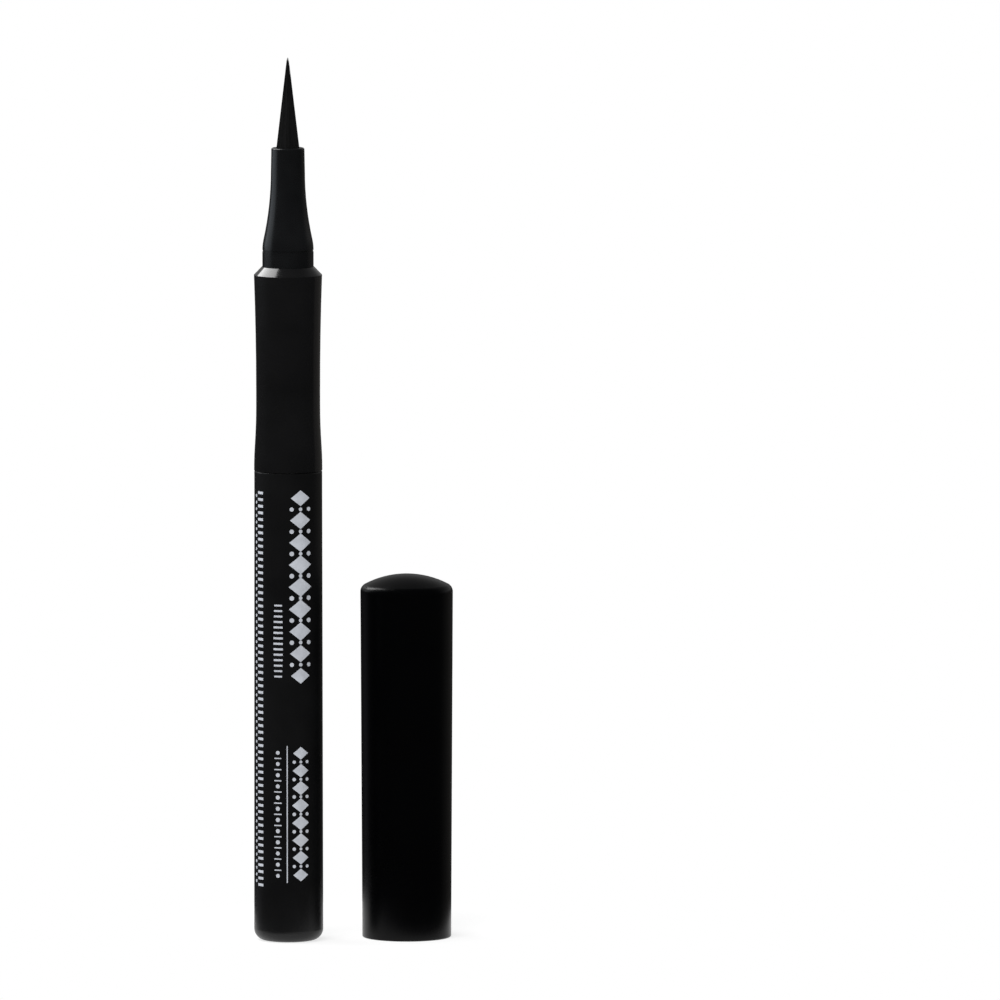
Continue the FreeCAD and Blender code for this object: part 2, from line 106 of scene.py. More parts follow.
class BrushSizes(bpy.types.PropertyGroup):
    """Sizes of the bristle tuft."""

    base_radius: length("Base radius", "Radius of the tuft where it leaves the nose", 1.635 * MM)
    point_radius: length("Point radius", "Radius of the tuft just below its point", 0.12 * MM)
    strand_radius: length("Strand radius", "Thickness of one bristle at its root", 0.05 * MM)
    depth_in_nose: length("Depth in nose", "How far the loose bristles reach into the nose", 0.6 * MM)
    flange_thickness: length("Flange thickness", "Height of the fused flange at the root", 1.0 * MM)
    strand_count: IntProperty(
        name="Bristles", description="Number of bristles in the skin", default=420, min=1
    )
    shortest_share: share("Shortest bristle", "Length of the shortest bristle next to the longest", 0.3)
    seed: IntProperty(name="Seed", description="Seed of the bristles' lengths and tones", default=7)


class FoilSizes(bpy.types.PropertyGroup):
    """Sizes of the foil ornament on the barrel."""

    lift: length("Lift", "How far the foil stands off the barrel", 0.012 * MM)
    sink: length("Sink", "How far the foil's edge goes into the barrel", 0.02 * MM)


class StageSizes(bpy.types.PropertyGroup):
    """Camera and table."""

    view_width: length("View width", "Width of the picture at the pen", 142.15 * MM)
    aim_across: length("Aim across", "Place of the picture's middle along X", 30.1 * MM)
    aim_height: length("Aim height", "Height of the picture's middle", 62.94 * MM)
    elevation: FloatProperty(
        name="Elevation", description="Angle the camera looks down by", default=radians(5.9),
        subtype="ANGLE",
    )
    lens: FloatProperty(
        name="Lens", description="Focal length in millimetres", default=700.0, unit="CAMERA"
    )
    table_radius: length("Table radius", "Radius of the pale table", 28.0 * MM)
    table_across: length("Table across", "Place of the table's middle along X", 8.5 * MM)
    table_back: length("Table back", "How far the table's middle lies behind the pen", 18.0 * MM)
    table_gap: length("Table gap", "Air between the table and the pieces that stand on it", 0.01 * MM)


class FinishColours(bpy.types.PropertyGroup):
    """Colours of the pieces and the table."""

    body: colour("Body", "Satin black of the barrel, grip and plug", (0.005, 0.005, 0.0053))
    nose: colour("Nose", "Smooth black of the nose", (0.0052, 0.0055, 0.006))
    cap: colour("Cap", "Deep black of the cap", (0.0004, 0.0004, 0.0006))
    ink: colour("Ink", "Wet black of the bristles", (0.0042, 0.0042, 0.0043))
    foil: colour("Foil", "Silver of the ornament", (0.66, 0.69, 0.75))
    natural: colour("Natural", "Unpigmented plastic of the inner pieces", (0.78, 0.78, 0.74))
    fibre: colour("Fibre", "Bonded fibre of the feed rod", (0.66, 0.64, 0.57))
    steel: colour("Steel", "Mixing ball", (0.56, 0.57, 0.58))
    floor: colour("Floor", "Matt tone of the table", (0.9, 0.9, 0.9))


GROUPS = {
    "eyeliner_brush": BrushSizes,
    "eyeliner_foil": FoilSizes,
    "eyeliner_stage": StageSizes,
    "eyeliner_colours": FinishColours,
}


# Node helpers.

def node(tree, kind, inputs=None, **options):
    """Adds a node, sets its options, and feeds sockets by identifier with values or other sockets."""
    made = tree.nodes.new(kind)
    for option, value in options.items():
        setattr(made, option, value)
    sockets = {socket.identifier: socket for socket in made.inputs}
    for identifier, value in (inputs or {}).items():
        if isinstance(value, bpy.types.NodeSocket):
            tree.links.new(value, sockets[identifier])
        else:
            sockets[identifier].default_value = value
    return made


def out(made, identifier):
    """An output socket by identifier."""
    return next(socket for socket in made.outputs if socket.identifier == identifier)


def reckon(tree, operation, first, second=0.0):
    """One step of arithmetic on two numbers or sockets."""
    values = {"Value": first, "Value_001": second}
    return node(tree, "ShaderNodeMath", values, operation=operation).outputs[0]


def reckon_vector(tree, operation, first, second, result):
    """One step of arithmetic on two vectors, and the output that it ends in."""
    values = {"Vector": first, "Vector_001": second}
    return node(tree, "ShaderNodeVectorMath", values, operation=operation).outputs[result]


def vector_length(tree, vector):
    """The length of a vector."""
    made = node(tree, "ShaderNodeVectorMath", {"Vector": vector}, operation="LENGTH")
    return made.outputs["Value"]


def vector_of(tree, x=0.0, y=0.0, z=0.0):
    """A vector put together from numbers or sockets."""
    return node(tree, "ShaderNodeCombineXYZ", {"X": x, "Y": y, "Z": z}).outputs[0]


def blended(tree, factor, first, second):
    """A number between two, by the factor."""
    ends = {"Factor_Float": factor, "A_Float": first, "B_Float": second}
    return node(tree, "ShaderNodeMix", ends).outputs[0]


def new_tree(name, inputs):
    """An empty geometry tree with named inputs, and its input node's sockets by name."""
    tree = bpy.data.node_groups.new(name, "GeometryNodeTree")
    for label, kind in inputs.items():
        tree.interface.new_socket(label, in_out="INPUT", socket_type=f"NodeSocket{kind}")
    tree.interface.new_socket("Geometry", in_out="OUTPUT", socket_type="NodeSocketGeometry")
    entry = tree.nodes.new("NodeGroupInput")
    return tree, {socket.name: socket for socket in entry.outputs}


def joined(tree, *parts):
    """The parts as one geometry, in the order given."""
    made = tree.nodes.new("GeometryNodeJoinGeometry")
    for part in parts:
        tree.links.new(part, made.inputs[0])
    return made.outputs[0]


def end_tree(tree, geometry, finish):
    """Realizes the instances, gives the finish and ends the tree."""
    plain = node(tree, "GeometryNodeRealizeInstances", {"Geometry": geometry}).outputs[0]
    dressed = node(tree, "GeometryNodeSetMaterial", {"Geometry": plain, "Material": finish}).outputs[0]
    exit_node = tree.nodes.new("NodeGroupOutput")
    tree.links.new(dressed, exit_node.inputs["Geometry"])


def grown(name, steps):
    """A plain mesh piece made by running geometry trees one after another, each with its own values."""
    piece = bpy.data.objects.new(name, bpy.data.meshes.new(name))
    bpy.context.scene.collection.objects.link(piece)
    for tree, values in steps:
        grower = piece.modifiers.new(tree.name, "NODES")
        grower.node_group = tree
        for item in tree.interface.items_tree:
            if item.in_out == "INPUT" and item.name in values:
                grower[item.identifier] = values[item.name]
    graph = bpy.context.evaluated_depsgraph_get()
    mesh = bpy.data.meshes.new_from_object(piece.evaluated_get(graph), depsgraph=graph)
    if not mesh.polygons:
        raise RuntimeError(f"{name} came out empty")
    piece.modifiers.clear()
    piece.data = mesh
    mesh.name = name
    return piece


# Finishes.

NOISE_LOW, NOISE_HIGH = 0.3, 0.7  # where most of a noise pattern's values lie
GRAIN_STRENGTH = 0.5
MOULD_SHADES = (0.82, 1.2)  # darkest and lightest clouds, as shares of the base colour
CLOUD_GLOSS = (0.9, 1.06)  # roughness over the clouds, as shares of the finish's own
GRAIN_GLOSS = (-0.05, 0.08)  # what the fine grain adds to those shares
LACQUER_ROUGHNESS = 0.12
BLOT_SHARE = 0.4  # how much of a bristle's tone and gloss changes along it


def new_finish(name, constants):
    """A node material, its tree and its shader, with constants set on the shader's own sockets."""
    material = bpy.data.materials.new(name)
    material.use_nodes = True
    tree = material.node_tree
    surface = tree.nodes["Principled BSDF"]
    for socket, value in constants.items():
        surface.inputs[socket].default_value = value
    return material, tree, surface


def speckle(tree, size, detail=3.0, stretch=(1.0, 1.0, 1.0)):
    """Noise fixed to the piece, with blots of about the given size."""
    place = node(tree, "ShaderNodeTexCoord").outputs["Object"]
    scaled = node(tree, "ShaderNodeMapping", {"Vector": place, "Scale": stretch}).outputs[0]
    noise = node(tree, "ShaderNodeTexNoise", {"Vector": scaled, "Scale": 1 / size, "Detail": detail})
    return noise.outputs["Fac"]


def between(tree, factor, low, high, start=NOISE_LOW, end=NOISE_HIGH):
    """A number that goes from low to high as the factor goes from start to end."""
    ends = {"Value": factor, "From Min": start, "From Max": end, "To Min": low, "To Max": high}
    return node(tree, "ShaderNodeMapRange", ends).outputs[0]


def tinted(tree, factor, first, second):
    """A colour between two, by the factor."""
    ends = {"Factor_Float": factor, "A_Color": (*first, 1.0), "B_Color": (*second, 1.0)}
    return out(node(tree, "ShaderNodeMix", ends, data_type="RGBA"), "Result_Color")


def scaled_colour(base, factor):
    """The colour made lighter or darker."""
    return tuple(min(1.0, channel * factor) for channel in base)


def shaded(tree, surface, factor, base, shades):
    """Colours the surface between a darker and a lighter share of the base colour, by the factor."""
    darkest, lightest = (scaled_colour(base, shade) for shade in shades)
    tree.links.new(tinted(tree, factor, darkest, lightest), surface.inputs["Base Color"])


def grained(tree, surface, height, depth):
    """Raises the surface by the height pattern, to the given depth."""
    relief = {"Height": height, "Distance": depth, "Strength": GRAIN_STRENGTH}
    bump = node(tree, "ShaderNodeBump", relief)
    tree.links.new(bump.outputs[0], surface.inputs["Normal"])


def moulded(name, base, roughness, specular, mottle, grain, depth, lacquer=0.0):
    """Moulded plastic: cloudy tone and gloss over a fine spark-eroded grain, lacquered or bare."""
    constants = {
        "Specular IOR Level": specular, "Coat Weight": lacquer, "Coat Roughness": LACQUER_ROUGHNESS,
    }
    material, tree, surface = new_finish(name, constants)
    cloud = speckle(tree, mottle)
    fine = speckle(tree, grain, detail=1.0)
    shaded(tree, surface, between(tree, cloud, 0.0, 1.0), base, MOULD_SHADES)
    broad_gloss = between(tree, cloud, *(part * roughness for part in CLOUD_GLOSS))
    fine_gloss = between(tree, fine, *(part * roughness for part in GRAIN_GLOSS))
    tree.links.new(reckon(tree, "ADD", broad_gloss, fine_gloss), surface.inputs["Roughness"])
    grained(tree, surface, fine, depth)
    return material


def patterned(name, base, tone, gloss, relief, shades, roughness, depth, constants):
    """A finish whose tone, gloss and relief each follow a noise pattern, given as speckle's values."""
    material, tree, surface = new_finish(name, constants)
    shaded(tree, surface, between(tree, speckle(tree, **tone), 0.0, 1.0), base, shades)
    tree.links.new(between(tree, speckle(tree, **gloss), *roughness), surface.inputs["Roughness"])
    grained(tree, surface, speckle(tree, **relief), depth)
    return material


def natural_plastic(base):
    """Unpigmented plastic, a little see-through, with faint flow marks along the piece."""
    flow = {"size": 2.2 * MM, "stretch": (1.0, 1.0, 0.25)}
    fine = {"size": 0.12 * MM, "detail": 1.0}
    return patterned(
        "natural_plastic", base, tone=flow, gloss=flow, relief=fine,
        shades=(0.93, 1.0), roughness=(0.36, 0.5), depth=0.006 * MM,
        constants={
            "Subsurface Weight": 0.25, "Subsurface Radius": (1.2 * MM, 1.1 * MM, 0.9 * MM),
            "Subsurface Scale": 1.0, "Specular IOR Level": 0.45,
        },
    )


def bonded_fibre(base):
    """Fibre rod: fine strands along the rod."""
    strands = {"size": 0.07 * MM, "detail": 4.0, "stretch": (1.0, 1.0, 0.03)}
    return patterned(
        "bonded_fibre", base, tone=strands, gloss=strands, relief=strands,
        shades=(0.6, 1.0), roughness=(0.7, 0.92), depth=0.03 * MM,
        constants={"Specular IOR Level": 0.2},
    )


def polished_steel(base):
    """Ball steel with faint marks from rolling."""
    marks = {"size": 0.35 * MM, "detail": 6.0}
    return patterned(
        "polished_steel", base, tone=marks, gloss=marks, relief=marks,
        shades=(0.85, 1.0), roughness=(0.08, 0.22), depth=0.001 * MM,
        constants={"Metallic": 1.0},
    )


def silver_foil(base):
    """Hot-stamped silver with a soft brushed grain and slightly worn spots."""
    brushed = {"size": 0.18 * MM, "stretch": (1.0, 1.0, 0.3)}
    worn = {"size": 1.4 * MM}
    return patterned(
        "silver_foil", base, tone=worn, gloss=brushed, relief=brushed,
        shades=(0.86, 1.06), roughness=(0.34, 0.5), depth=0.002 * MM,
        constants={"Metallic": 0.2, "Specular IOR Level": 0.5},
    )


def inked_bristle(base):
    """Bristles wet with ink: each strand has its own depth of black and its own gloss."""
    material, tree, surface = new_finish("inked_bristle", {"Specular IOR Level": 0.22})
    strand = node(tree, "ShaderNodeAttribute", attribute_name="strand").outputs["Fac"]
    along = speckle(tree, size=0.25 * MM, stretch=(1.0, 1.0, 0.12))
    mixed = blended(tree, BLOT_SHARE, strand, along)
    shaded(tree, surface, mixed, base, shades=(0.5, 2.6))
    tree.links.new(between(tree, mixed, low=0.3, high=0.55), surface.inputs["Roughness"])
    grained(tree, surface, along, depth=0.01 * MM)
    return material


def dress(material, *nodes):
    """Gives carried-over nodes a finish in place of the plain one they came with."""
    for name in nodes:
        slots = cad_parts[name].data.materials
        slots.clear()
        slots.append(material)


# Pieces.

class EYELINER_OT_body(bpy.types.Operator):
    """Satin black on the barrel and the tail plug, and a lacquered satin black on the grip section"""

    bl_idname = "eyeliner.body"
    bl_label = "Body"

    def execute(self, context):
        base = context.scene.eyeliner_colours.body
        satin = moulded(
            "satin_body", base, roughness=0.36, specular=0.3,
            mottle=6.0 * MM, grain=0.16 * MM, depth=0.003 * MM,
        )
        dress(satin, "barrel", "tail_plug")
        lacquered = moulded(
            "lacquered_grip", base, roughness=0.2, specular=0.3,
            mottle=6.0 * MM, grain=0.16 * MM, depth=0.002 * MM, lacquer=0.6,
        )
        dress(lacquered, "grip_section")
        return {"FINISHED"}


class EYELINER_OT_nose(bpy.types.Operator):
    """Smooth black on the nose cone"""

    bl_idname = "eyeliner.nose"
    bl_label = "Nose"

    def execute(self, context):
        smooth = moulded(
            "smooth_nose", context.scene.eyeliner_colours.nose, roughness=0.27, specular=0.4,
            mottle=4.0 * MM, grain=0.12 * MM, depth=0.001 * MM,
        )
        dress(smooth, "nose_cone")
        return {"FINISHED"}


class EYELINER_OT_cap(bpy.types.Operator):
    """Deep black on the cap's shell"""

    bl_idname = "eyeliner.cap"
    bl_label = "Cap"

    def execute(self, context):
        deep = moulded(
            "deep_cap", context.scene.eyeliner_colours.cap, roughness=0.3, specular=0.2,
            mottle=9.0 * MM, grain=0.14 * MM, depth=0.002 * MM,
        )
        dress(deep, "cap_shell")
        return {"FINISHED"}


class EYELINER_OT_inner_pieces(bpy.types.Operator):
    """Finishes of the pieces inside the pen and the cap"""

    bl_idname = "eyeliner.inner_pieces"
    bl_label = "Inner pieces"

    def execute(self, context):
        tones = context.scene.eyeliner_colours
        dress(natural_plastic(tones.natural), "inner_cap", "collector", "nib_retainer")
        dress(bonded_fibre(tones.fibre), "feed_rod")
        dress(polished_steel(tones.steel), "mixing_ball")
        return {"FINISHED"}


STRAND_SIDES = 5
STRAND_SEGMENTS = 3
STRAND_TIP_SHARE = 0.2  # a bristle's tip next to its root
ROUND_SIDES = 40
CORE_SEGMENTS = 12
CORE_TIP_SHARE = 0.3  # the core's tip next to the tuft's point


def cone(tree, sides, bottom, top, depth, segments=1):
    """A closed cone or cylinder that stands on the origin."""
    return node(tree, "GeometryNodeMeshCone", {
        "Vertices": sides, "Side Segments": segments,
        "Radius Top": top, "Radius Bottom": bottom, "Depth": depth,
    }).outputs["Mesh"]


def raised(tree, shape, height):
    """The shape moved up to a height."""
    move = {"Geometry": shape, "Translation": vector_of(tree, z=height)}
    return node(tree, "GeometryNodeTransform", move).outputs[0]


def random_number(tree, lowest, seed):
    """A number from the lowest to one, drawn for each bristle."""
    limits = {"Min_001": lowest, "Max_001": 1.0, "Seed": seed}
    return out(node(tree, "FunctionNodeRandomValue", limits, data_type="FLOAT"), "Value_001")


def tuft_tree(finish):
    """Bristles laid along a cone over a solid core, on a straight root with a flange."""
    tree, given = new_tree("bristle_tuft", {
        "Bristles": "Int", "Base Radius": "Float", "Point Radius": "Float",
        "Strand Radius": "Float", "Root Height": "Float", "Base Height": "Float",
        "Point Height": "Float", "Depth In Nose": "Float", "Flange Radius": "Float",
        "Flange Thickness": "Float", "Shortest Share": "Float", "Seed": "Int",
    })
    rise = reckon(tree, "SUBTRACT", given["Point Height"], given["Base Height"])
    narrowing = reckon(tree, "SUBTRACT", given["Base Radius"], given["Point Radius"])
    slope = reckon(tree, "DIVIDE", narrowing, rise)
    foot = reckon(tree, "SUBTRACT", given["Base Height"], given["Depth In Nose"])
    point_rise = reckon(tree, "DIVIDE", given["Point Radius"], slope)
    apex = reckon(tree, "ADD", given["Point Height"], point_rise)
    apex_rise = reckon(tree, "SUBTRACT", apex, foot)
    foot_radius = reckon(tree, "MULTIPLY", slope, apex_rise)
    ring_radius = reckon(tree, "SUBTRACT", foot_radius, given["Strand Radius"])
    tuft_length = reckon(tree, "SUBTRACT", given["Point Height"], foot)

    index = node(tree, "GeometryNodeInputIndex").outputs[0]
    turn = reckon(tree, "MULTIPLY", index, GOLDEN_ANGLE)
    start = vector_of(
        tree,
        reckon(tree, "MULTIPLY", ring_radius, reckon(tree, "COSINE", turn)),
        reckon(tree, "MULTIPLY", ring_radius, reckon(tree, "SINE", turn)),
        foot,
    )
    places = {"Count": given["Bristles"], "Position": start}
    points = node(tree, "GeometryNodePoints", places).outputs[0]
    reach = reckon_vector(tree, "SUBTRACT", vector_of(tree, z=apex), start, "Vector")
    lean = node(tree, "FunctionNodeAlignRotationToVector", {"Vector": reach}, axis="Z").outputs[0]
    longest = reckon(tree, "DIVIDE", tuft_length, apex_rise)
    drawn = random_number(tree, given["Shortest Share"], given["Seed"])
    slant = vector_length(tree, reach)
    strand_length = reckon(tree, "MULTIPLY", reckon(tree, "MULTIPLY", drawn, longest), slant)
    strand = cone(tree, STRAND_SIDES, 1.0, STRAND_TIP_SHARE, 1.0, STRAND_SEGMENTS)
    thickness = vector_of(tree, given["Strand Radius"], given["Strand Radius"], strand_length)
    strands = node(tree, "GeometryNodeInstanceOnPoints", {
        "Points": points, "Instance": strand, "Rotation": lean, "Scale": thickness,
    }).outputs[0]
    tone = random_number(tree, 0.0, reckon(tree, "ADD", given["Seed"], 1.0))
    toned = node(tree, "GeometryNodeStoreNamedAttribute", {
        "Geometry": strands, "Name": "strand", "Value": tone,
    }, data_type="FLOAT", domain="INSTANCE").outputs[0]

    core_tip = reckon(tree, "MULTIPLY", given["Point Radius"], CORE_TIP_SHARE)
    core = cone(tree, ROUND_SIDES, ring_radius, core_tip, tuft_length, CORE_SEGMENTS)
    flange_radius, flange_thickness = given["Flange Radius"], given["Flange Thickness"]
    flange = cone(tree, ROUND_SIDES, flange_radius, flange_radius, flange_thickness)
    seat = reckon(tree, "ADD", given["Root Height"], flange_thickness)
    root_length = reckon(tree, "SUBTRACT", foot, seat)
    root = cone(tree, ROUND_SIDES, given["Base Radius"], given["Base Radius"], root_length)
    tuft = joined(
        tree,
        toned,
        raised(tree, core, foot),
        raised(tree, flange, given["Root Height"]),
        raised(tree, root, seat),
    )
    end_tree(tree, tuft, finish)
    return tree


class EYELINER_OT_brush(bpy.types.Operator):
    """A pointed tuft of bristles in the nose"""

    bl_idname = "eyeliner.brush"
    bl_label = "Brush"

    def execute(self, context):
        sizes = context.scene.eyeliner_brush
        tree = tuft_tree(inked_bristle(context.scene.eyeliner_colours.ink))
        tuft = grown("bristle_tuft", [(tree, {
            "Bristles": sizes.strand_count,
            "Base Radius": sizes.base_radius,
            "Point Radius": sizes.point_radius,
            "Strand Radius": sizes.strand_radius,
            "Root Height": BRUSH_LOW.z,
            "Base Height": NOSE_FRONT,
            "Point Height": BRUSH_HIGH.z,
            "Depth In Nose": sizes.depth_in_nose,
            "Flange Radius": BRUSH_HIGH.x,
            "Flange Thickness": sizes.flange_thickness,
            "Shortest Share": sizes.shortest_share,
            "Seed": sizes.seed,
        })])
        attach(tuft, "pen")
        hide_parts("brush_nib")
        return {"FINISHED"}


FOIL_WELD = 0.0002 * MM  # points of the foil nearer than this become one


def foil_row_tree(finish):
    """Adds one row of like motifs up the barrel to what it is given, wrapped round it as thin foil."""
    tree, given = new_tree("foil_row", {
        "Geometry": "Geometry", "Corners": "Int", "Turn": "Float", "Count": "Int",
        "First Height": "Float", "Pitch": "Float", "Across": "Float", "Half Width": "Float",
        "Half Height": "Float", "Swell": "Float", "Detail": "Int", "Tail Radius": "Float",
        "Taper": "Float", "Lift": "Float", "Sink": "Float",
    })
    motif = node(tree, "GeometryNodeMeshCircle", {
        "Vertices": given["Corners"], "Radius": 1.0,
    }, fill_type="TRIANGLE_FAN").outputs[0]
    motif = node(tree, "GeometryNodeTransform", {
        "Geometry": motif, "Rotation": vector_of(tree, z=given["Turn"]),
    }).outputs[0]
    motif = node(tree, "GeometryNodeSubdivideMesh", {
        "Mesh": motif, "Level": given["Detail"],
    }).outputs[0]
    line = node(tree, "GeometryNodeMeshLine", {
        "Count": given["Count"],
        "Start Location": vector_of(tree, given["Across"], given["First Height"]),
        "Offset": vector_of(tree, y=given["Pitch"]),
    }).outputs[0]
    index = node(tree, "GeometryNodeInputIndex").outputs[0]
    along = reckon(tree, "DIVIDE", reckon(tree, "ADD", index, 0.5), given["Count"])
    arch = reckon(tree, "SINE", reckon(tree, "MULTIPLY", along, pi))
    loss = reckon(tree, "MULTIPLY", given["Swell"], reckon(tree, "SUBTRACT", 1.0, arch))
    size = reckon(tree, "SUBTRACT", 1.0, loss)
    scale = vector_of(
        tree,
        reckon(tree, "MULTIPLY", given["Half Width"], size),
        reckon(tree, "MULTIPLY", given["Half Height"], size),
        1.0,
    )
    row = node(tree, "GeometryNodeInstanceOnPoints", {
        "Points": line, "Instance": motif, "Scale": scale,
    }).outputs[0]
    row = node(tree, "GeometryNodeRealizeInstances", {"Geometry": row}).outputs[0]

    position = node(tree, "GeometryNodeInputPosition").outputs[0]
    flat = node(tree, "ShaderNodeSeparateXYZ", {"Vector": position}).outputs
    height = flat["Y"]
    narrowing = reckon(tree, "MULTIPLY", given["Taper"], height)
    radius = reckon(tree, "SUBTRACT", given["Tail Radius"], narrowing)
    angle = reckon(tree, "DIVIDE", flat["X"], radius)
    skin = reckon(tree, "ADD", radius, given["Lift"])
    front = reckon(tree, "MULTIPLY", skin, -1.0)
    wrapped = vector_of(
        tree,
        reckon(tree, "MULTIPLY", skin, reckon(tree, "SINE", angle)),
        reckon(tree, "MULTIPLY", front, reckon(tree, "COSINE", angle)),
        height,
    )
    face = node(tree, "GeometryNodeSetPosition", {"Geometry": row, "Position": wrapped}).outputs[0]
    thickness = reckon(tree, "ADD", given["Lift"], given["Sink"])
    under = node(tree, "GeometryNodeExtrudeMesh", {
        "Mesh": face, "Offset Scale": reckon(tree, "MULTIPLY", thickness, -1.0), "Individual": False,
    }, mode="FACES").outputs["Mesh"]
    under = node(tree, "GeometryNodeFlipFaces", {"Mesh": under}).outputs[0]
    welded = node(tree, "GeometryNodeMergeByDistance", {
        "Geometry": joined(tree, face, under), "Distance": FOIL_WELD,
    }).outputs[0]
    end_tree(tree, joined(tree, given["Geometry"], welded), finish)
    return tree


FOIL_MOTIFS = {
    # name: (corners, turn, detail, corner distance for a half size of one)
    "lozenge": (4, 0.0, 2, 1.0),
    "dot": (14, 0.0, 0, 1.0),
    "bar": (4, pi / 4, 1, 2 ** 0.5),
}
FOIL_ROWS = (
    # motif, count, first height, pitch, place round the barrel, half width, half height (mm), swell
    ("lozenge", 9, 38.3, 3.17, 1.84, 1.74, 1.38, 0.22),
    ("dot", 8, 39.885, 3.17, 1.84, 0.27, 0.27, 0.0),
    ("dot", 8, 39.885, 3.17, 0.54, 0.34, 0.34, 0.15),
    ("dot", 8, 39.885, 3.17, 3.14, 0.34, 0.34, 0.15),
    ("bar", 14, 38.2, 0.78, -1.44, 0.7, 0.15, 0.2),
    ("bar", 1, 18.5, 0.0, -0.14, 0.075, 9.8, 0.0),
    ("lozenge", 8, 9.8, 2.49, 1.84, 1.28, 1.04, 0.15),
    ("dot", 7, 11.045, 2.49, 1.84, 0.22, 0.22, 0.0),
    ("dot", 7, 11.045, 2.49, 0.86, 0.26, 0.26, 0.1),
    ("dot", 7, 11.045, 2.49, 2.82, 0.26, 0.26, 0.1),
    ("dot", 12, 9.7, 1.6, -1.5, 0.31, 0.31, 0.1),
    ("bar", 11, 10.5, 1.6, -1.5, 0.55, 0.09, 0.1),
    ("bar", 60, 8.2, 0.95, -4.6, 0.6, 0.19, 0.0),
    ("dot", 59, 8.675, 0.95, -5.75, 0.22, 0.22, 0.0),
)


class EYELINER_OT_foil(bpy.types.Operator):
    """A silver foil ornament of lozenges, dots, bars and a rule on the barrel"""

    bl_idname = "eyeliner.foil"
    bl_label = "Foil ornament"

    def execute(self, context):
        sizes = context.scene.eyeliner_foil
        tree = foil_row_tree(silver_foil(context.scene.eyeliner_colours.foil))
        steps = []
        for motif, count, first, pitch, across, half_width, half_height, swell in FOIL_ROWS:
            corners, turn, detail, reach = FOIL_MOTIFS[motif]
            steps.append((tree, {
                "Corners": corners,
                "Turn": turn,
                "Detail": detail,
                "Count": count,
                "First Height": first * MM,
                "Pitch": pitch * MM,
                "Across": across * MM,
                "Half Width": half_width * reach * MM,
                "Half Height": half_height * reach * MM,
                "Swell": swell,
                "Tail Radius": BARREL_TAIL_RADIUS,
                "Taper": (BARREL_TAIL_RADIUS - BARREL_FRONT_RADIUS) / BARREL_LENGTH,
                "Lift": sizes.lift,
                "Sink": sizes.sink,
            }))
        foil = grown("foil_ornament", steps)
        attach(foil, "pen")
        return {"FINISHED"}


# Stage.

SOFTBOXES = {
    # name: (place, aim, width, height, brightness, tint, whether it glares)
    "front_softbox": (
        (-0.3, -0.8, 1.15), (0.01, 0.0, 0.05), 0.9, 0.9, 7.2, (1.0, 1.0, 1.0), False,
    ),
    "shoulder_softbox": (
        (-0.33, 0.25, 0.4), (-0.24, 0.293, 0.0), 0.61, 0.2, 6.0, (1.0, 1.0, 1.0), True,
    ),
    "nose_card": (
        (-0.15, 0.055, 0.115), (0.0, 0.055, 0.115), 0.15, 0.056, 0.85, (0.84, 0.92, 1.0), True,
    ),
    "left_wall": (
        (-0.4, 0.25, -0.1), (0.0, 0.0, -0.1), 0.3, 0.2, 0.08, (0.84, 0.84, 1.0), True,
    ),
    "right_wall": (
        (0.42, 0.42, 0.0), (0.0, 0.0, 0.0), 0.7, 0.4, 0.055, (1.0, 0.93, 0.86), True,
    ),
}

TABLE_SIDES = 96
TABLE_PALENESS = 0.74  # how much of what the eye sees of the table is pure white
TABLE_FADE = (0.85, 0.98)  # shares of the radius between which all of it turns pure white
BLOTCH_SIZE = 30.0 * MM
BLOTCH_SHADE = 0.985

DIFFUSE_FILL = 0.5  # the world's strength as a light
ROOM_LEVEL = 0.02  # what gloss sees of the dim room
BAND_START = (0.0, 0.5)  # where the paler band begins, by how far a direction points to the back
BAND_LEVELS = (0.01, 0.29)  # strength below and above the band's foot
BAND_FOOT = (0.07, 0.15)  # heights, as a direction's Z, between which the band begins
BAND_HEAD = (0.25, 0.6)  # heights between which it dims
BAND_HEAD_SHARE = 0.4  # what is left of it above them
PAPER_EDGE = (radians(9.0), radians(4.0))  # angles off the line of sight between which white begins
CAMERA_REACH = 20.0


def softbox(name, place, aim, width, height, brightness, tint, glare):
    """A soft rectangular lamp that the camera doesn't see. A brightness of 1 looks white.

    A lamp without glare lights colours and leaves no highlight, as behind a polarising sheet.
    """
    lamp = bpy.data.lights.new(name, "AREA")
    lamp.shape = "RECTANGLE"
    lamp.size = width
    lamp.size_y = height
    lamp.energy = brightness * pi * width * height
    lamp.color = tint
    holder = bpy.data.objects.new(name, lamp)
    holder.location = place
    holder.rotation_euler = (Vector(aim) - Vector(place)).to_track_quat("-Z", "Y").to_euler()
    holder.visible_camera = False
    holder.visible_glossy = glare
    bpy.context.scene.collection.objects.link(holder)


def mixed_shader(tree, factor, first, second):
    """One shader or another, by the factor."""
    ends = {"Fac": factor, "Shader": first, "Shader_001": second}
    return node(tree, "ShaderNodeMixShader", ends).outputs[0]


